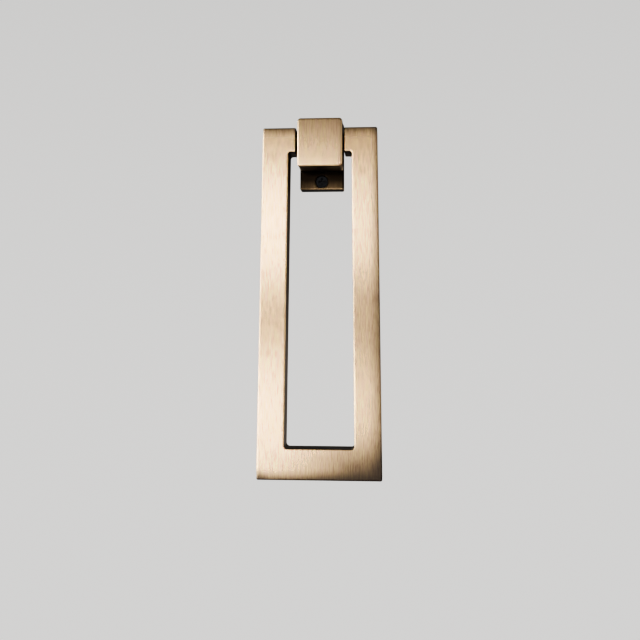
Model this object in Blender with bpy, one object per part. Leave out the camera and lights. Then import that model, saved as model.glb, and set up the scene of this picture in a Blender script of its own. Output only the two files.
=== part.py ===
"""Door knocker: a tapered rectangular loop hung from a cube-faced hinge block on a base plate.

The door's face is the plane y = 0. The knocker stands off it towards -Y, and +Z is up.
The origin is the middle of the base plate's back face. Sizes are in metres, from millimetres.

The base plate is screwed to the door through its spigot and its lower tab. The hinge block
slides over the spigot and a grub screw in its underside holds it there. The loop turns on a
pin pressed through the block, and a rubber-tipped button on its back meets the door.
"""

import math

import bmesh
import bpy
from mathutils import Vector

MM = 0.001

# Loop, seen from the front. The taper runs straight from the top edge to the bottom edge.
LOOP_TOP_WIDTH = 52.2 * MM
LOOP_BOTTOM_WIDTH = 57.3 * MM
LOOP_HEIGHT = 160.6 * MM
LEG_TOP_WIDTH = 11.8 * MM
LEG_BOTTOM_WIDTH = 12.5 * MM
TOP_BAR_HEIGHT = 11.2 * MM
BOTTOM_BAR_HEIGHT = 14.4 * MM
STUB_GAP = 22.0 * MM
OUTER_CORNER_RADIUS = 0.8 * MM
UPPER_INNER_CORNER_RADIUS = 1.2 * MM
LOWER_INNER_CORNER_RADIUS = 1.6 * MM

# Loop, seen from the side
LOOP_FRONT = 20.0 * MM
LOOP_THICKNESS = 12.5 * MM
LOOP_EDGE_RADIUS = 0.55 * MM

# Hinge block
BLOCK_WIDTH = 20.5 * MM
BLOCK_HEIGHT = 22.0 * MM
BLOCK_MIDDLE_Z = 4.0 * MM
BLOCK_FRONT = 21.5 * MM
BLOCK_CORNER_RADIUS = 1.5 * MM
BLOCK_EDGE_RADIUS = 0.7 * MM

# Base plate and the square spigot that the block slides over
PLATE_WIDTH = 20.5 * MM
PLATE_HEIGHT = 31.0 * MM
PLATE_THICKNESS = 7.0 * MM
PLATE_EDGE_RADIUS = 0.6 * MM
SPIGOT_SIDE = 12.0 * MM
SPIGOT_DEPTH = 3.0 * MM

# Pivot. The pin sits a little behind the middle of the loop, so the loop hangs onto its button.
PIVOT_Z = 5.3 * MM
PIVOT_BEHIND_MIDDLE = 0.5 * MM
PIN_RADIUS = 2.0 * MM
PIN_LENGTH = 41.0 * MM
PIN_CHAMFER = 0.35 * MM
BUSH_RADIUS = 3.0 * MM
BUSH_LENGTH = 8.0 * MM
WASHER_RADIUS = 4.4 * MM
WASHER_THICKNESS = 0.45 * MM
PLUG_LENGTH = 4.6 * MM

# Countersunk wood screws that hold the plate on the door
LOWER_SCREW_Z = -11.7 * MM
SCREW_HEAD_RADIUS = 2.8 * MM
SCREW_SINK = 0.8 * MM
SHANK_RADIUS = 1.5 * MM
SCREW_LENGTH = 20.0 * MM
PLAIN_SHANK_LENGTH = 4.0 * MM
SCREW_POINT_LENGTH = 3.0 * MM
THREAD_PITCH = 1.25 * MM
THREAD_DEPTH = 0.42 * MM
ROWS_PER_THREAD = 4
RECESS_WIDTH = 0.9 * MM
RECESS_SPAN = 3.2 * MM
RECESS_DEPTH = 1.3 * MM

# Grub screw in the underside of the block
GRUB_RADIUS = 1.0 * MM
GRUB_LENGTH = 3.9 * MM
GRUB_CHAMFER = 0.2 * MM
GRUB_DOOR_DISTANCE = 8.7 * MM
GRUB_SOCKET_RADIUS = 0.55 * MM
GRUB_SOCKET_DEPTH = 1.4 * MM

# Button on the back of the bottom bar, and the pad set in its face
BUTTON_RADIUS = 4.6 * MM
BUTTON_STEM_RADIUS = 2.5 * MM
BUTTON_STEM_LENGTH = 6.0 * MM
PAD_RADIUS = 3.3 * MM
PAD_THICKNESS = 2.0 * MM
PAD_STANDS_OUT = 0.8 * MM

# Gaps
RUNNING_GAP = 0.06 * MM
SEAT_GAP = 0.15 * MM
SLIDE_GAP = 0.3 * MM

# Smoothness
ROUND_SIDES = 48
SCREW_SIDES = 16
CORNER_STEPS = 8
EDGE_SEGMENTS = 4
SMOOTH_BELOW = math.radians(35)
CUT_PAST = 1.0 * MM

# Where the pieces meet
PIVOT_Y = LOOP_THICKNESS / 2 - LOOP_FRONT + PIVOT_BEHIND_MIDDLE
PIVOT = Vector((0, PIVOT_Y, PIVOT_Z))
LOOP_BACK_Y = LOOP_THICKNESS - LOOP_FRONT
LOOP_TOP_Z = PIVOT_Z + TOP_BAR_HEIGHT / 2
LOOP_BOTTOM_Z = LOOP_TOP_Z - LOOP_HEIGHT
BLOCK_BOTTOM_Z = BLOCK_MIDDLE_Z - BLOCK_HEIGHT / 2
BLOCK_BACK_Y = -PLATE_THICKNESS - SEAT_GAP

ALONG_X = (0, math.pi / 2, 0)
TOWARDS_DOOR = (-math.pi / 2, 0, 0)
AWAY_FROM_DOOR = (math.pi / 2, 0, 0)


def clear_scene():
    for obj in list(bpy.data.objects):
        bpy.data.objects.remove(obj)


def material(name, colour, metallic, roughness):
    made = bpy.data.materials.new(name)
    made.use_nodes = True
    shader = made.node_tree.nodes["Principled BSDF"]
    shader.inputs["Base Color"].default_value = (*colour, 1)
    shader.inputs["Metallic"].default_value = metallic
    shader.inputs["Roughness"].default_value = roughness
    return made


def add_object(name, bm, look=None, location=(0, 0, 0), rotation=(0, 0, 0), parent=None):
    """Turns a bmesh into a smooth-shaded object with crisp edges."""
    bmesh.ops.recalc_face_normals(bm, faces=bm.faces[:])
    mesh = bpy.data.meshes.new(name)
    bm.to_mesh(mesh)
    bm.free()
    mesh.shade_smooth()
    mesh.set_sharp_from_angle(angle=SMOOTH_BELOW)
    obj = bpy.data.objects.new(name, mesh)
    bpy.context.scene.collection.objects.link(obj)
    obj.location = location
    obj.rotation_euler = rotation
    obj.parent = parent
    if look:
        mesh.materials.append(look)
    return obj


def box_mesh(size):
    bm = bmesh.new()
    bmesh.ops.create_cube(bm, size=1)
    bmesh.ops.scale(bm, vec=size, verts=bm.verts)
    return bm


def extruded_mesh(outline, back, depth):
    """Makes an outline of (x, z) points solid, from its back towards the front."""
    bm = bmesh.new()
    face = bm.faces.new([bm.verts.new((x, back, z)) for x, z in outline])
    raised = bmesh.ops.extrude_face_region(bm, geom=[face])["geom"]
    front = [item for item in raised if isinstance(item, bmesh.types.BMVert)]
    bmesh.ops.translate(bm, vec=(0, -depth, 0), verts=front)
    return bm


def lathe_mesh(profile, ring=False, sides=ROUND_SIDES):
    """Turns (radius, height) points round the Z axis. A ring's profile closes on itself."""
    bm = bmesh.new()
    points = [bm.verts.new((radius, 0, height)) for radius, height in profile]
    pairs = list(zip(points, points[1:]))
    if ring:
        pairs.append((points[-1], points[0]))
    edges = [bm.edges.new(pair) for pair in pairs]
    bmesh.ops.spin(bm, geom=points + edges, axis=(0, 0, 1), angle=math.tau, steps=sides, use_merge=True)
    bmesh.ops.remove_doubles(bm, verts=bm.verts, dist=1e-7)
    return bm


def rod_profile(radius, length, chamfer):
    """Half section of a rod from height 0 up to its length, chamfered at both ends."""
    return [
        (0, 0),
        (radius - chamfer, 0),
        (radius, chamfer),
        (radius, length - chamfer),
        (radius - chamfer, length),
        (0, length),
    ]


def tube_profile(inner, outer, length):
    return [(inner, 0), (outer, 0), (outer, length), (inner, length)]


def bevel_edges(obj, radius):
    bevel = obj.modifiers.new("rounded edges", "BEVEL")
    bevel.width = radius
    bevel.segments = EDGE_SEGMENTS
    bevel.limit_method = "ANGLE"
    bevel.angle_limit = SMOOTH_BELOW
    bevel.use_clamp_overlap = False


def combine(obj, other, operation="DIFFERENCE"):
    """Cuts another object out of this one, or adds it, and hides the other one."""
    other.hide_render = True
    other.display_type = "WIRE"
    other.hide_set(True)
    boolean = obj.modifiers.new(other.name, "BOOLEAN")
    boolean.object = other
    boolean.operation = operation


def filleted(corners, steps=CORNER_STEPS):
    """Outline points of a polygon whose corners are (x, z, radius), with each corner rounded."""
    outline = []
    for index, (x, z, radius) in enumerate(corners):
        corner = Vector((x, z))
        if not radius:
            outline.append(corner)
            continue
        before = Vector(corners[index - 1][:2])
        after = Vector(corners[(index + 1) % len(corners)][:2])
        to_before = (before - corner).normalized()
        to_after = (after - corner).normalized()
        half_angle = to_before.angle(to_after) / 2
        centre = corner + (to_before + to_after).normalized() * radius / math.sin(half_angle)
        reach = radius / math.tan(half_angle)
        start = corner + to_before * reach - centre
        end = corner + to_after * reach - centre
        sweep = start.angle(end)
        for step in range(steps + 1):
            part = step / steps
            mix = start * math.sin((1 - part) * sweep) + end * math.sin(part * sweep)
            outline.append(centre + mix / math.sin(sweep))
    return outline


def loop_outline():
    """The loop from the front, relative to the pivot: round the outside, then back round the inside."""
    top = LOOP_TOP_Z - PIVOT_Z
    bottom = LOOP_BOTTOM_Z - PIVOT_Z
    inner_top = top - TOP_BAR_HEIGHT
    inner_bottom = bottom + BOTTOM_BAR_HEIGHT

    def inner_half_width(z):
        down = (top - z) / LOOP_HEIGHT
        outer = LOOP_TOP_WIDTH + (LOOP_BOTTOM_WIDTH - LOOP_TOP_WIDTH) * down
        leg = LEG_TOP_WIDTH + (LEG_BOTTOM_WIDTH - LEG_TOP_WIDTH) * down
        return outer / 2 - leg

    right = [
        (STUB_GAP / 2, top, 0),
        (LOOP_TOP_WIDTH / 2, top, OUTER_CORNER_RADIUS),
        (LOOP_BOTTOM_WIDTH / 2, bottom, OUTER_CORNER_RADIUS),
    ]
    right_inside = [
        (inner_half_width(inner_bottom), inner_bottom, LOWER_INNER_CORNER_RADIUS),
        (inner_half_width(inner_top), inner_top, UPPER_INNER_CORNER_RADIUS),
        (STUB_GAP / 2, inner_top, 0),
    ]
    left = [(-x, z, radius) for x, z, radius in reversed(right)]
    left_inside = [(-x, z, radius) for x, z, radius in reversed(right_inside)]
    return filleted(right + left + left_inside + right_inside)


def make_loop(look, pivot):
    mesh = extruded_mesh(loop_outline(), LOOP_BACK_Y - PIVOT_Y, LOOP_THICKNESS)
    loop = add_object("knocker_loop", mesh, look, parent=pivot)
    bevel_edges(loop, LOOP_EDGE_RADIUS)

    reach = LOOP_TOP_WIDTH / 2 + CUT_PAST
    bore_profile = rod_profile(BUSH_RADIUS + RUNNING_GAP, 2 * reach, 0)
    bore = add_object("pin_bore", lathe_mesh(bore_profile), None, (-reach, 0, 0), ALONG_X, pivot)
    combine(loop, bore)

    stem_depth = BUTTON_STEM_LENGTH + SEAT_GAP
    stem_profile = rod_profile(BUTTON_STEM_RADIUS + RUNNING_GAP, stem_depth + CUT_PAST, 0)
    start = button_seat() - PIVOT + Vector((0, CUT_PAST, 0))
    stem_bore = add_object("stem_bore", lathe_mesh(stem_profile), None, start, AWAY_FROM_DOOR, pivot)
    combine(loop, stem_bore)


def button_seat():
    """Where the button's stem enters the back of the bottom bar."""
    return Vector((0, LOOP_BACK_Y, LOOP_BOTTOM_Z + BOTTOM_BAR_HEIGHT / 2))


def make_button(look, pad_look, pivot):
    shoulder = -SEAT_GAP
    face = LOOP_BACK_Y + PAD_STANDS_OUT
    recess_floor = face + PAD_THICKNESS - PAD_STANDS_OUT + SEAT_GAP
    recess_radius = PAD_RADIUS + RUNNING_GAP
    edge = LOOP_EDGE_RADIUS
    # Heights run from the back of the bar into it, so the head lies below 0.
    profile = [
        (0, BUTTON_STEM_LENGTH),
        (BUTTON_STEM_RADIUS - edge, BUTTON_STEM_LENGTH),
        (BUTTON_STEM_RADIUS, BUTTON_STEM_LENGTH - edge),
        (BUTTON_STEM_RADIUS, shoulder),
        (BUTTON_RADIUS - edge, shoulder),
        (BUTTON_RADIUS, shoulder - edge),
        (BUTTON_RADIUS, face + edge),
        (BUTTON_RADIUS - edge, face),
        (recess_radius, face),
        (recess_radius, recess_floor),
        (0, recess_floor),
    ]
    at = button_seat() - PIVOT
    add_object("knock_button", lathe_mesh(profile), look, at, AWAY_FROM_DOOR, pivot)
    pad_profile = rod_profile(PAD_RADIUS, PAD_THICKNESS, edge / 2)
    at_door = Vector((at.x, -PIVOT_Y, at.z))
    add_object("knock_pad", lathe_mesh(pad_profile), pad_look, at_door, AWAY_FROM_DOOR, pivot)


def block_outline():
    """The block from the front, relative to its middle."""
    right = BLOCK_WIDTH / 2
    top = BLOCK_HEIGHT / 2
    corners = [(right, top), (right, -top), (-right, -top), (-right, top)]
    return filleted([(x, z, BLOCK_CORNER_RADIUS) for x, z in corners])


def make_block(look):
    mesh = extruded_mesh(block_outline(), BLOCK_BACK_Y, BLOCK_FRONT + BLOCK_BACK_Y)
    block = add_object("hinge_block", mesh, look, (0, 0, BLOCK_MIDDLE_Z))
    bevel_edges(block, BLOCK_EDGE_RADIUS)

    reach = BLOCK_WIDTH / 2 + CUT_PAST
    bore_profile = rod_profile(PIN_RADIUS + RUNNING_GAP, 2 * reach, 0)
    bore = add_object("block_bore", lathe_mesh(bore_profile), None, PIVOT - Vector((reach, 0, 0)), ALONG_X)
    combine(block, bore)

    side = SPIGOT_SIDE + 2 * SLIDE_GAP
    front_y = -PLATE_THICKNESS - SPIGOT_DEPTH - SLIDE_GAP
    back_y = BLOCK_BACK_Y + CUT_PAST
    pocket_size = (side, back_y - front_y, side)
    pocket_middle = (0, (front_y + back_y) / 2, BLOCK_MIDDLE_Z)
    combine(block, add_object("spigot_pocket", box_mesh(pocket_size), None, pocket_middle))

    hole_bottom = BLOCK_BOTTOM_Z - CUT_PAST
    hole_profile = rod_profile(GRUB_RADIUS + RUNNING_GAP, BLOCK_MIDDLE_Z - hole_bottom, 0)
    hole_at = (0, -GRUB_DOOR_DISTANCE, hole_bottom)
    combine(block, add_object("grub_hole", lathe_mesh(hole_profile), None, hole_at))


def screw_hole_profile(surface_y):
    """Half section of a countersunk hole, from outside the surface to outside the plate's back."""
    head = SCREW_HEAD_RADIUS + SLIDE_GAP / 2
    shank = SHANK_RADIUS + SLIDE_GAP / 2
    cone_start = CUT_PAST + SCREW_SINK
    cone_end = cone_start + head - shank
    through = CUT_PAST - surface_y + CUT_PAST
    return [(0, 0), (head, 0), (head, cone_start), (shank, cone_end), (shank, through), (0, through)]


def make_plate(look):
    middle = (0, -PLATE_THICKNESS / 2, 0)
    size = (PLATE_WIDTH, PLATE_THICKNESS, PLATE_HEIGHT)
    plate = add_object("base_plate", box_mesh(size), look, middle)
    bevel_edges(plate, PLATE_EDGE_RADIUS)

    root = PLATE_THICKNESS / 2
    spigot_size = (SPIGOT_SIDE, SPIGOT_DEPTH + root, SPIGOT_SIDE)
    spigot_middle = (0, -PLATE_THICKNESS - (SPIGOT_DEPTH - root) / 2, BLOCK_MIDDLE_Z)
    combine(plate, add_object("spigot", box_mesh(spigot_size), None, spigot_middle), "UNION")

    for name, surface_y, z in screw_places():
        cutter_at = (0, surface_y - CUT_PAST, z)
        cutter_mesh = lathe_mesh(screw_hole_profile(surface_y))
        combine(plate, add_object(name + "_hole", cutter_mesh, None, cutter_at, TOWARDS_DOOR))


def screw_places():
    """Each wood screw's name, the height of the surface it is sunk into, and its height on the door."""
    return [
        ("upper_mounting_screw", -PLATE_THICKNESS - SPIGOT_DEPTH, BLOCK_MIDDLE_Z),
        ("lower_mounting_screw", -PLATE_THICKNESS, LOWER_SCREW_Z),
    ]


def screw_radius(depth, angle):
    """Radius of the threaded shank at a depth below the head's face and an angle round it."""
    left = SCREW_LENGTH - depth
    taper = min(1, left / SCREW_POINT_LENGTH)
    turn = (depth / THREAD_PITCH - angle / math.tau) % 1
    crest = 1 - abs(2 * turn - 1)
    run_in = min(1, (depth - PLAIN_SHANK_LENGTH) / THREAD_PITCH)
    core = SHANK_RADIUS - THREAD_DEPTH
    plain = SHANK_RADIUS * (1 - run_in) + core * run_in
    return (plain + THREAD_DEPTH * crest * run_in) * taper


def screw_mesh():
    """A countersunk wood screw. Its head's face is at height 0 and its point reaches down the Z axis."""
    cone = SCREW_HEAD_RADIUS - SHANK_RADIUS
    rows = [(0, [SCREW_HEAD_RADIUS] * SCREW_SIDES), (cone, [SHANK_RADIUS] * SCREW_SIDES)]
    angles = [math.tau * side / SCREW_SIDES for side in range(SCREW_SIDES)]
    step = THREAD_PITCH / ROWS_PER_THREAD
    count = int((SCREW_LENGTH - PLAIN_SHANK_LENGTH) / step)
    for row in range(count):
        depth = PLAIN_SHANK_LENGTH + row * step
        rows.append((depth, [screw_radius(depth, angle) for angle in angles]))

    bm = bmesh.new()
    rings = []
    for depth, radii in rows:
        places = zip(radii, angles)
        ring = [bm.verts.new((r * math.cos(a), r * math.sin(a), -depth)) for r, a in places]
        rings.append(ring)
    bm.faces.new(rings[0])
    for upper, lower in zip(rings, rings[1:]):
        for side in range(SCREW_SIDES):
            after = (side + 1) % SCREW_SIDES
            bm.faces.new((upper[side], lower[side], lower[after], upper[after]))
    tip = bm.verts.new((0, 0, -SCREW_LENGTH))
    for side in range(SCREW_SIDES):
        bm.faces.new((rings[-1][side], tip, rings[-1][(side + 1) % SCREW_SIDES]))
    return bm


def make_mounting_screws(look):
    slot_size = (RECESS_SPAN, RECESS_WIDTH, 2 * RECESS_DEPTH)
    for name, surface_y, z in screw_places():
        at = (0, surface_y + SCREW_SINK, z)
        screw = add_object(name, screw_mesh(), look, at, AWAY_FROM_DOOR)
        for slot, turn in (("_slot_a", 0), ("_slot_b", math.pi / 2)):
            cutter = add_object(name + slot, box_mesh(slot_size), None, at, AWAY_FROM_DOOR)
            cutter.rotation_euler.y = turn
            combine(screw, cutter)


def make_grub_screw(look):
    spigot_bottom = BLOCK_MIDDLE_Z - SPIGOT_SIDE / 2
    at = Vector((0, -GRUB_DOOR_DISTANCE, spigot_bottom - SEAT_GAP - GRUB_LENGTH))
    profile = rod_profile(GRUB_RADIUS, GRUB_LENGTH, GRUB_CHAMFER)
    screw = add_object("block_grub_screw", lathe_mesh(profile), look, at)
    socket_profile = rod_profile(GRUB_SOCKET_RADIUS, GRUB_SOCKET_DEPTH + CUT_PAST, 0)
    socket_at = at - Vector((0, 0, CUT_PAST))
    socket = add_object("hex_socket", lathe_mesh(socket_profile, sides=6), None, socket_at)
    combine(screw, socket)


def make_pin(look):
    profile = rod_profile(PIN_RADIUS, PIN_LENGTH, PIN_CHAMFER)
    start = PIVOT - Vector((PIN_LENGTH / 2, 0, 0))
    add_object("pivot_pin", lathe_mesh(profile), look, start, ALONG_X)


def make_washers(look):
    profile = tube_profile(PIN_RADIUS + RUNNING_GAP, WASHER_RADIUS, WASHER_THICKNESS)
    middle_x = (STUB_GAP / 2 + BLOCK_WIDTH / 2) / 2
    for name, x in (("left_thrust_washer", -middle_x), ("right_thrust_washer", middle_x)):
        at = PIVOT + Vector((x - WASHER_THICKNESS / 2, 0, 0))
        add_object(name, lathe_mesh(profile, ring=True), look, at, ALONG_X)


def make_bushes(look, pivot):
    profile = tube_profile(PIN_RADIUS + RUNNING_GAP, BUSH_RADIUS, BUSH_LENGTH)
    near_x = STUB_GAP / 2 + SEAT_GAP
    for name, x in (("left_bush", -near_x - BUSH_LENGTH), ("right_bush", near_x)):
        add_object(name, lathe_mesh(profile, ring=True), look, (x, 0, 0), ALONG_X, pivot)


def make_bore_plugs(look, pivot):
    """The pin's bore runs through both legs, and a plug closes each end almost flush with its leg."""
    profile = rod_profile(BUSH_RADIUS, PLUG_LENGTH, LOOP_EDGE_RADIUS / 2)
    outer_x = LOOP_TOP_WIDTH / 2
    for name, x in (("left_bore_plug", -outer_x), ("right_bore_plug", outer_x - PLUG_LENGTH)):
        add_object(name, lathe_mesh(profile), look, (x, 0, 0), ALONG_X, pivot)


def main():
    clear_scene()
    pivot = bpy.data.objects.new("loop_pivot", None)
    bpy.context.scene.collection.objects.link(pivot)
    pivot.location = PIVOT

    satin_brass = material("satin_brass", (0.72, 0.51, 0.30), 1.0, 0.32)
    pin_steel = material("pin_steel", (0.56, 0.55, 0.54), 1.0, 0.3)
    black_steel = material("black_steel", (0.035, 0.037, 0.042), 1.0, 0.45)
    bush_bronze = material("bush_bronze", (0.50, 0.33, 0.18), 1.0, 0.4)
    black_nylon = material("black_nylon", (0.03, 0.03, 0.03), 0.0, 0.5)
    pad_rubber = material("pad_rubber", (0.025, 0.024, 0.023), 0.0, 0.8)

    make_plate(satin_brass)
    make_block(satin_brass)
    make_loop(satin_brass, pivot)
    make_button(satin_brass, pad_rubber, pivot)
    make_bore_plugs(satin_brass, pivot)
    make_pin(pin_steel)
    make_bushes(bush_bronze, pivot)
    make_washers(black_nylon)
    make_mounting_screws(black_steel)
    make_grub_screw(black_steel)


main()
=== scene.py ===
"""Looks for the door knocker: brushed antique brass, small hardware, studio and camera."""

import math

import bmesh
import bpy
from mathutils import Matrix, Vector


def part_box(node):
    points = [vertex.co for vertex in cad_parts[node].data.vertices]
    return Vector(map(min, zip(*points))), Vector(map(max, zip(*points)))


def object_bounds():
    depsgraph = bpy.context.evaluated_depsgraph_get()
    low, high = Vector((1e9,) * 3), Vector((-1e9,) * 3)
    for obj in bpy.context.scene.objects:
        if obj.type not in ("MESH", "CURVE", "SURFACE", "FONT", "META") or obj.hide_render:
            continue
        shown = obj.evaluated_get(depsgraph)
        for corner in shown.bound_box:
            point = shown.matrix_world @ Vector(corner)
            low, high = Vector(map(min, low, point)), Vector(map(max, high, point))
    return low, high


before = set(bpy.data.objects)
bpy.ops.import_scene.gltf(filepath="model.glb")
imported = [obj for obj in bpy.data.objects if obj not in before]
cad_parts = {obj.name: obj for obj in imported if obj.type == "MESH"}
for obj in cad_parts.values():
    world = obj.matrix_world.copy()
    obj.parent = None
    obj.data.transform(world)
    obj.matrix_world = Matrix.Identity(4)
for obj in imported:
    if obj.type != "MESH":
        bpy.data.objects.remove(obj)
cad_box = [list(corner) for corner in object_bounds()]

MM = 0.001
LOOP_LOW, LOOP_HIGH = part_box("knocker_loop")
LOOP_TAPER = 2.55 * MM
BLOCK_LOW, BLOCK_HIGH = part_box("hinge_block")
GRUB_LOW, GRUB_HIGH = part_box("block_grub_screw")
PLATE_LOW, PLATE_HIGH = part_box("base_plate")
LOOP_MIDDLE = (LOOP_LOW + LOOP_HIGH) / 2
MIDDLE = (Vector(cad_box[0]) + Vector(cad_box[1])) / 2

RIGHT = (1, 0, 0)
TO_DOOR = (0, 1, 0)
OUTWARD = (0, -1, 0)
UP = (0, 0, 1)
DOWN = (0, 0, -1)

# Linear colours
YELLOW_BRASS = (0.965, 0.69, 0.30, 1)
ROSE_BRASS = (0.955, 0.605, 0.34, 1)
DULL_BRASS = (0.53, 0.335, 0.175, 1)
# Pale edge colour: partly rubbed wear, partly a painted highlight along the rounded edges
WORN_EDGE_AND_HIGHLIGHT = (0.95, 0.79, 0.56, 1)
# Dark brown for patina and painted shade on the loop and block, and a near-black brown for the painted
# shade on the plate
PATINA_AND_SHADE = (0.034, 0.0265, 0.0235, 1)
DEEP_SHADE = (0.010, 0.0068, 0.0047, 1)
BRONZE = (0.50, 0.33, 0.18)
STEEL = (0.56, 0.55, 0.54)
BLACK_OXIDE = (0.014, 0.015, 0.018)
BLACK_NYLON = (0.03, 0.03, 0.03)
BLACK_RUBBER = (0.025, 0.024, 0.023)
PALE_GREY = (0.80, 0.79, 0.77, 1)
DAYLIGHT = (1, 0.99, 0.97, 1)
WHITE = (1, 1, 1)
WARM = (1, 0.95, 0.84)

# Noise cells per metre, along the brushing and across it
HAIR_SCALE = (170, 2800)
BAND_SCALE = (100, 1700)
CLOUD_SCALE = 70
BUMP = {"Strength": 0.2, "Distance": 0.02 * MM}
BRUSHED_ANISOTROPY = 0.8

LENS = 50.15
SENSOR = 36
CAMERA_PLACE = (0.0305, -0.4232, -0.0854)
CAMERA_DEGREES = (91.2, -0.17, 4.28)

FLOOR_Z = -0.6
WALL_RADIUS = 2.2
WALL_TOP_Z = 2.6
SWEEP_RADIUS = 0.8
DOME_HEIGHT = 0.6
QUARTER_STEPS = 16
ROUND_STEPS = 96


class Nodes:
    """Adds shader nodes to one node tree, a call for each."""

    def __init__(self, tree):
        self.tree = tree

    def add(self, kind, inputs=None, **settings):
        node = self.tree.nodes.new(kind)
        for name, value in settings.items():
            setattr(node, name, value)
        for key, value in (inputs or {}).items():
            self.feed(node.inputs[key], value)
        return node

    def feed(self, socket, value):
        if isinstance(value, bpy.types.NodeSocket):
            self.tree.links.new(value, socket)
        else:
            socket.default_value = value

    def math(self, operation, *values, clamp=False):
        node = self.add("ShaderNodeMath", operation=operation, use_clamp=clamp)
        for socket, value in zip(node.inputs, values):
            self.feed(socket, value)
        return node.outputs[0]

    def smooth(self, value, start, end, low=0.0, high=1.0):
        """Eases from low to high as the value goes from start to end."""
        node = self.add("ShaderNodeMapRange", interpolation_type="SMOOTHSTEP")
        for socket, number in zip(node.inputs[:5], (value, start, end, low, high)):
            self.feed(socket, number)
        return node.outputs[0]

    def patch(self, distance, full_within, gone_by, depth):
        """Patina that is full within one distance and has faded away by another."""
        return self.smooth(distance, gone_by, full_within, 0, depth)

    def mix(self, share, first, second):
        node = self.add("ShaderNodeMix", data_type="RGBA")
        self.feed(node.inputs[0], share)
        self.feed(node.inputs[6], first)
        self.feed(node.inputs[7], second)
        return node.outputs[2]

    def noise(self, vector, scale, detail, roughness):
        inputs = {"Vector": vector, "Scale": scale, "Detail": detail, "Roughness": roughness}
        return self.add("ShaderNodeTexNoise", inputs).outputs["Fac"]

    def vector(self, operation, first, second, output=0):
        node = self.add("ShaderNodeVectorMath", operation=operation)
        self.feed(node.inputs[0], first)
        self.feed(node.inputs[1], second)
        return node.outputs[output]

    def distance(self, place, point):
        return self.vector("DISTANCE", place, point, "Value")

    def along(self, direction, axis):
        """How far a direction agrees with an axis, from -1 to 1."""
        return self.vector("DOT_PRODUCT", direction, axis, "Value")

    def facing(self, agreement, depth=1.0):
        """The given depth on the flat faces that point along an axis, and none on the others."""
        return self.smooth(agreement, 0.8, 0.98, 0, depth)


def new_material(name):
    material = bpy.data.materials.new(name)
    material.use_nodes = True
    nodes = Nodes(material.node_tree)
    shader = material.node_tree.nodes["Principled BSDF"]
    return material, nodes, shader


def joined(nodes, *masks):
    """Masks laid over each other: what stays bright is the product of what each leaves bright."""
    bright = 1
    for mask in masks:
        bright = nodes.math("MULTIPLY", bright, nodes.math("SUBTRACT", 1, mask))
    return nodes.math("SUBTRACT", 1, bright)


def loop_patina_and_shade(nodes, place, normal):
    """The loop is darkened at its foot and top, down its right edge, on its inside walls and by the block:
    partly patina, partly painted shade and a painted dark reflection.
    """
    x, y, z = nodes.add("ShaderNodeSeparateXYZ", {0: place}).outputs

    def from_foot_to_top(at_foot, at_top):
        return nodes.smooth(z, LOOP_LOW.z, LOOP_HIGH.z, at_foot, at_top)

    # Foot and top ends: darker towards the ends, partly patina and partly painted shade
    above_foot = nodes.math("SUBTRACT", z, LOOP_LOW.z)
    foot = nodes.patch(above_foot, full_within=-0.4 * MM, gone_by=6 * MM, depth=0.96)
    below_top = nodes.math("SUBTRACT", LOOP_HIGH.z, z)
    top = nodes.patch(below_top, full_within=0, gone_by=6.5 * MM, depth=0.86)

    # Right edge and lower right corner: painted shade where the rounded edge would reflect the dark right
    # side, with some patina
    right_edge = from_foot_to_top(LOOP_HIGH.x, LOOP_HIGH.x - LOOP_TAPER)
    from_right = nodes.math("SUBTRACT", right_edge, x)
    right_reach = from_foot_to_top(8.5 * MM, 4 * MM)
    right_depth = from_foot_to_top(0.80, 0.72)
    right = nodes.patch(from_right, full_within=0, gone_by=right_reach, depth=right_depth)

    # The right corner's patch is wider than it is high
    right_corner = (LOOP_HIGH.x - 4 * MM, LOOP_LOW.y, LOOP_LOW.z)
    from_corner = nodes.vector("MULTIPLY", nodes.vector("SUBTRACT", place, right_corner), (0.6, 1, 1))
    from_corner = nodes.distance(from_corner, (0, 0, 0))
    corner = nodes.patch(from_corner, full_within=4 * MM, gone_by=30 * MM, depth=0.92)
    from_left_corner = nodes.distance(place, LOOP_LOW)
    smudge = nodes.patch(from_left_corner, full_within=1 * MM, gone_by=7 * MM, depth=0.6)
    # Middle of the right leg: a painted dark reflection band
    leg_middle = (LOOP_HIGH.x, LOOP_LOW.y, LOOP_MIDDLE.z - 7 * MM)
    from_leg_middle = nodes.distance(place, leg_middle)
    leg = nodes.patch(from_leg_middle, full_within=8 * MM, gone_by=36 * MM, depth=0.42)

    # Inside walls and the stub ends beside the block: painted shade
    inward = nodes.along(nodes.vector("SUBTRACT", LOOP_MIDDLE, place), normal)
    inside = nodes.smooth(inward, 4 * MM, 11 * MM, 0, 0.93)
    to_the_right = nodes.smooth(nodes.along(normal, RIGHT), 0.25, 0.6)
    from_middle = nodes.math("ABSOLUTE", x)
    by_block = nodes.smooth(from_middle, BLOCK_HIGH.x + 3 * MM, BLOCK_HIGH.x + 2 * MM)
    stub_end = nodes.math("MULTIPLY", nodes.math("MULTIPLY", to_the_right, by_block), 0.97)
    return joined(nodes, foot, top, right, corner, smudge, leg, inside, stub_end)


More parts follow.
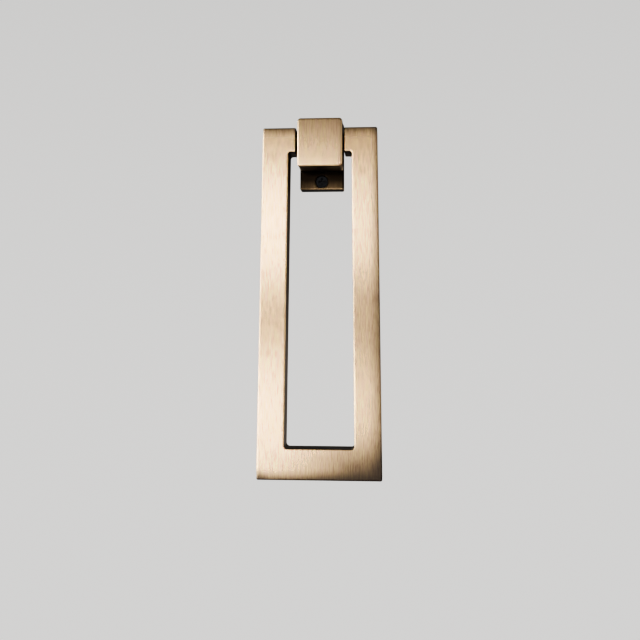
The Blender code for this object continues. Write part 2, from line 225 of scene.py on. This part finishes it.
def block_patina_and_shade(nodes, place, normal):
    """The block is painted darker towards its top and right edge, keeps a lighter band along its bottom as
    a painted highlight, and is darkest on its sides, underneath and at the grub screw's mouth, where the
    darkening is painted shade.
    """
    x, y, z = nodes.add("ShaderNodeSeparateXYZ", {0: place}).outputs
    # Top and right edge: partly patina, partly a painted dark reflection
    top = nodes.smooth(z, BLOCK_HIGH.z - 16 * MM, BLOCK_HIGH.z + 2 * MM, 0, 0.6)
    # A slight darkening above the lowest millimetres leaves a lighter bottom band: a painted highlight
    body = nodes.smooth(z, BLOCK_LOW.z + 1 * MM, BLOCK_LOW.z + 5 * MM, 0, 0.15)
    right = nodes.smooth(x, BLOCK_HIGH.x - 5 * MM, BLOCK_HIGH.x, 0, 0.3)
    # Sides, underside and the grub screw's mouth: painted shade
    underside = nodes.facing(nodes.along(normal, DOWN), depth=0.9)
    sides = nodes.facing(nodes.math("ABSOLUTE", nodes.along(normal, RIGHT)), depth=0.98)
    grub_mouth = (0, (GRUB_LOW.y + GRUB_HIGH.y) / 2, BLOCK_LOW.z)
    from_grub = nodes.distance(place, grub_mouth)
    hole = nodes.patch(from_grub, full_within=4 * MM, gone_by=5 * MM, depth=0.98)
    return joined(nodes, top, body, right, underside, sides, hole)


def plate_shade_and_rim_highlight(nodes, place, normal):
    """The plate is painted dark as shade from the block and loop above it: its lower rim is left light as a
    painted highlight, its left end and underside are darker, and its back is a little less dark.
    """
    x, y, z = nodes.add("ShaderNodeSeparateXYZ", {0: place}).outputs
    # Lower rim left light: a painted highlight
    rim = nodes.smooth(z, PLATE_LOW.z + 0.5 * MM, PLATE_LOW.z + 1 * MM, 0.78, 0.95)
    # Face above the rim, left end and underside: painted shade
    shade = nodes.smooth(z, PLATE_LOW.z + 1 * MM, PLATE_LOW.z + 5 * MM)
    left = nodes.smooth(x, PLATE_LOW.x, PLATE_LOW.x + 9 * MM, 0.5, 0)
    underside = nodes.facing(nodes.along(normal, DOWN))
    back = nodes.facing(nodes.along(normal, TO_DOOR))
    less_dark_back = nodes.math("MULTIPLY_ADD", back, -0.16, 1)
    return nodes.math("MULTIPLY", joined(nodes, rim, shade, left, underside), less_dark_back)


def brushed_brass(name, patina_and_shade_mask, darkest=PATINA_AND_SHADE, softness=0.8 * MM, grain=0.85, streaks=0.28, wear_and_highlight=0.5):
    """Satin antique brass, brushed up and down on its upright faces and across on its level ones."""
    material, nodes, shader = new_material(name)
    coordinates = nodes.add("ShaderNodeTexCoord")
    place = coordinates.outputs["Object"]
    upwards = nodes.add("ShaderNodeSeparateXYZ", {0: coordinates.outputs["Normal"]}).outputs["Z"]
    level = nodes.smooth(nodes.math("ABSOLUTE", upwards), 0.6, 0.8)

    def brushed_noise(scale, detail, roughness):
        along, across = scale
        upright_place = nodes.vector("MULTIPLY", place, (across, across, along))
        flat_place = nodes.vector("MULTIPLY", place, (along, across, across))
        upright = nodes.noise(upright_place, 1, detail, roughness)
        flat = nodes.noise(flat_place, 1, detail, roughness)
        return nodes.add("ShaderNodeMix", {0: level, 2: upright, 3: flat}).outputs[0]

    hairs = brushed_noise(HAIR_SCALE, 4, 0.65)
    bands = brushed_noise(BAND_SCALE, 3, 0.6)
    clouds = nodes.noise(place, CLOUD_SCALE, 5, 0.6)

    rounded_normal = nodes.add("ShaderNodeBevel", {"Radius": softness}, samples=6).outputs[0]
    true_normal = nodes.add("ShaderNodeNewGeometry").outputs["Normal"]
    edge = nodes.smooth(nodes.along(rounded_normal, true_normal), 0.99, 0.80)

    # The darker the patina and painted shade, the more evenly it covers
    mask = patina_and_shade_mask(nodes, place, coordinates.outputs["Normal"])
    haze = nodes.math("MULTIPLY", nodes.math("SUBTRACT", clouds, 0.5), 0.3)
    unevenness = nodes.math("MULTIPLY_ADD", nodes.math("SUBTRACT", bands, 0.5), streaks, haze)
    unevenness = nodes.math("MULTIPLY", unevenness, nodes.math("SUBTRACT", 1.15, mask))
    patina_and_shade_share = nodes.math("ADD", mask, unevenness, clamp=True)

    colour = nodes.mix(nodes.smooth(bands, 0.44, 0.56), YELLOW_BRASS, ROSE_BRASS)
    colour = nodes.mix(nodes.smooth(hairs, 0.44, 0.62, 0, grain), colour, DULL_BRASS)
    # Patina and painted shade pull the colour toward the darkest colour
    colour = nodes.mix(patina_and_shade_share, colour, darkest)
    dulling = nodes.math("MULTIPLY_ADD", patina_and_shade_share, -0.12, 1)
    dulled = nodes.add("ShaderNodeHueSaturation", {"Color": colour, "Saturation": dulling})
    # Edges are mixed toward the pale edge colour: partly wear and partly a painted highlight line,
    # strongest on the plate's lower rim
    edge_wear_and_highlight = nodes.math("MULTIPLY", edge, nodes.smooth(mask, 0.97, 0.85, 0, wear_and_highlight))
    colour = nodes.mix(edge_wear_and_highlight, dulled.outputs[0], WORN_EDGE_AND_HIGHLIGHT)

    satin = nodes.smooth(hairs, 0.3, 0.7, 0.235, 0.265)
    roughness = nodes.math("MULTIPLY_ADD", patina_and_shade_share, 0.10, satin)
    height = nodes.math("MULTIPLY_ADD", bands, 0.3, hairs)
    bump = nodes.add("ShaderNodeBump", {"Height": height, "Normal": rounded_normal, **BUMP})

    nodes.feed(shader.inputs["Base Color"], colour)
    nodes.feed(shader.inputs["Roughness"], roughness)
    nodes.feed(shader.inputs["Normal"], bump.outputs[0])
    shader.inputs["Metallic"].default_value = 1
    shader.inputs["Anisotropic"].default_value = BRUSHED_ANISOTROPY
    return material


def plain_material(name, colour, metallic, roughness, grain_scale, contrast):
    """A small piece's material: its colour and roughness vary with one noise, which also bumps it."""
    material, nodes, shader = new_material(name)
    place = nodes.add("ShaderNodeTexCoord").outputs["Object"]
    grain = nodes.noise(place, grain_scale, 4, 0.6)
    dark = tuple(value * (1 - contrast) for value in colour) + (1,)
    light = tuple(value * (1 + contrast) for value in colour) + (1,)
    varied_colour = nodes.mix(nodes.smooth(grain, 0.3, 0.7), dark, light)
    varied_roughness = nodes.smooth(grain, 0.3, 0.7, roughness * 0.8, roughness * 1.2)
    bump = nodes.add("ShaderNodeBump", {"Height": grain, **BUMP})
    nodes.feed(shader.inputs["Base Color"], varied_colour)
    nodes.feed(shader.inputs["Roughness"], varied_roughness)
    nodes.feed(shader.inputs["Normal"], bump.outputs[0])
    shader.inputs["Metallic"].default_value = metallic
    return material


def dress(node_names, material):
    for name in node_names:
        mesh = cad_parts[name].data
        mesh.materials.clear()
        mesh.materials.append(material)


def dress_brass():
    """The parts of the loop, the block and the plate."""
    loop_brass = brushed_brass("loop_brass", loop_patina_and_shade)
    dress(["knocker_loop", "left_bore_plug", "right_bore_plug", "knock_button"], loop_brass)
    block_brass = brushed_brass("block_brass", block_patina_and_shade, softness=0.9 * MM, grain=0.6, streaks=0.15)
    dress(["hinge_block"], block_brass)
    plate_brass = brushed_brass("plate_brass", plate_shade_and_rim_highlight, DEEP_SHADE, streaks=0, wear_and_highlight=0.8)
    dress(["base_plate"], plate_brass)


def dress_small_pieces():
    """Each material's metalness, roughness, grain scale and contrast follow its colour."""
    bronze = plain_material("bush_bronze", BRONZE, 1, 0.4, 3000, 0.15)
    dress(["left_bush", "right_bush"], bronze)
    steel = plain_material("pin_steel", STEEL, 1, 0.3, 3000, 0.1)
    dress(["pivot_pin"], steel)
    black = plain_material("screw_black", BLACK_OXIDE, 1, 0.45, 2500, 0.3)
    dress(["upper_mounting_screw", "lower_mounting_screw", "block_grub_screw"], black)
    nylon = plain_material("washer_nylon", BLACK_NYLON, 0, 0.5, 1500, 0.2)
    dress(["left_thrust_washer", "right_thrust_washer"], nylon)
    rubber = plain_material("pad_rubber", BLACK_RUBBER, 0, 0.8, 2500, 0.25)
    dress(["knock_pad"], rubber)


def add_camera():
    data = bpy.data.cameras.new("camera")
    data.lens = LENS
    data.sensor_width = SENSOR
    data.clip_start = 0.01
    camera = bpy.data.objects.new("camera", data)
    bpy.context.scene.collection.objects.link(camera)
    camera.location = CAMERA_PLACE
    camera.rotation_euler = [math.radians(angle) for angle in CAMERA_DEGREES]
    bpy.context.scene.camera = camera


def add_softbox(name, location, size, radiance, colour=WHITE):
    """A rectangular softbox that shows the same radiance from wherever it is seen."""
    data = bpy.data.lights.new(name, "AREA")
    data.shape = "RECTANGLE"
    data.size, data.size_y = size
    data.energy = radiance * math.pi * size[0] * size[1]
    data.color = colour
    lamp = bpy.data.objects.new(name, data)
    lamp.location = location
    lamp.rotation_euler = (MIDDLE - Vector(location)).to_track_quat("-Z", "Y").to_euler()
    lamp.visible_camera = False
    bpy.context.scene.collection.objects.link(lamp)


def add_lights():
    """Two bright boxes in front make the bands along the legs, and dimmer ones fill the sides and back."""
    add_softbox("upper_front", (-0.40, -1.5, 0.16), (0.63, 0.22), 10.5, WARM)
    add_softbox("lower_front", (-0.53, -1.5, -0.25), (0.60, 0.25), 12.5, WARM)
    add_softbox("top_front", (-0.40, -1.3, 0.9), (1.0, 0.6), 0.25, WARM)
    add_softbox("left_key", (-1.3, -0.42, 0.0), (0.56, 1.2), 22, WARM)
    add_softbox("right_fill", (1.3, -0.3, 0.1), (0.9, 1.0), 1.5, WARM)
    add_softbox("low_left", (-0.75, -1.0, -0.9), (1.2, 0.7), 3, WARM)
    add_softbox("back_left", (-1.0, 1.0, 0.65), (0.9, 0.6), 1.6)
    add_softbox("back_right", (1.1, 1.1, -0.3), (0.8, 0.5), 1.2)


def add_world():
    """A dim room, darker in front and darkest straight behind the knocker, where a door would be."""
    world = bpy.data.worlds.new("studio")
    world.use_nodes = True
    nodes = Nodes(world.node_tree)
    direction = nodes.add("ShaderNodeTexCoord").outputs["Generated"]
    behind = nodes.smooth(nodes.along(direction, TO_DOOR), 0.80, 0.95, 1, 0.12)
    before = nodes.smooth(nodes.along(direction, OUTWARD), 0.80, 0.95, 1, 0.35)
    above = nodes.smooth(nodes.along(direction, UP), -1, 1, 0.45, 0.30)
    strength = nodes.math("MULTIPLY", nodes.math("MULTIPLY", behind, before), above)
    background = world.node_tree.nodes["Background"]
    nodes.feed(background.inputs["Strength"], strength)
    background.inputs["Color"].default_value = DAYLIGHT
    bpy.context.scene.world = world


def backdrop_profile():
    """Radius and height from the middle of the floor, round the sweep, up the wall and over it."""
    quarter = [math.radians(90 * step / QUARTER_STEPS) for step in range(QUARTER_STEPS + 1)]
    profile = [(0, FLOOR_Z)]
    for angle in quarter:
        radius = WALL_RADIUS - SWEEP_RADIUS + SWEEP_RADIUS * math.sin(angle)
        profile.append((radius, FLOOR_Z + SWEEP_RADIUS * (1 - math.cos(angle))))
    for angle in quarter:
        profile.append((WALL_RADIUS * math.cos(angle), WALL_TOP_Z + DOME_HEIGHT * math.sin(angle)))
    return profile


def backdrop_material():
    """Paper that glows a little more towards the floor and takes no light or shade."""
    material, nodes, shader = new_material("backdrop_paper")
    shader.inputs["Base Color"].default_value = (0, 0, 0, 1)
    shader.inputs["Specular IOR Level"].default_value = 0
    shader.inputs["Emission Color"].default_value = PALE_GREY
    place = nodes.add("ShaderNodeTexCoord").outputs["Object"]
    z = nodes.add("ShaderNodeSeparateXYZ", {0: place}).outputs["Z"]
    glow = nodes.smooth(z, FLOOR_Z, WALL_TOP_Z, 1.35, 0.9)
    nodes.feed(shader.inputs["Emission Strength"], glow)
    return material


def add_backdrop():
    """A seamless pale floor and wall, turned about the knocker, that only the camera sees."""
    shape = bmesh.new()
    points = [shape.verts.new((radius, 0, z)) for radius, z in backdrop_profile()]
    edges = [shape.edges.new(pair) for pair in zip(points, points[1:])]
    outline = points + edges
    bmesh.ops.spin(shape, geom=outline, cent=(0, 0, 0), axis=UP, angle=math.tau, steps=ROUND_STEPS)
    bmesh.ops.remove_doubles(shape, verts=shape.verts, dist=0.1 * MM)
    mesh = bpy.data.meshes.new("backdrop")
    shape.to_mesh(mesh)
    shape.free()
    mesh.shade_smooth()
    mesh.materials.append(backdrop_material())
    backdrop = bpy.data.objects.new("backdrop", mesh)
    backdrop.visible_diffuse = False
    backdrop.visible_glossy = False
    backdrop.visible_shadow = False
    bpy.context.scene.collection.objects.link(backdrop)


bpy.context.scene.view_settings.view_transform = "AgX"
bpy.context.scene.view_settings.look = "AgX - Medium High Contrast"
add_camera()
add_world()
add_backdrop()
add_lights()
dress_brass()
dress_small_pieces()
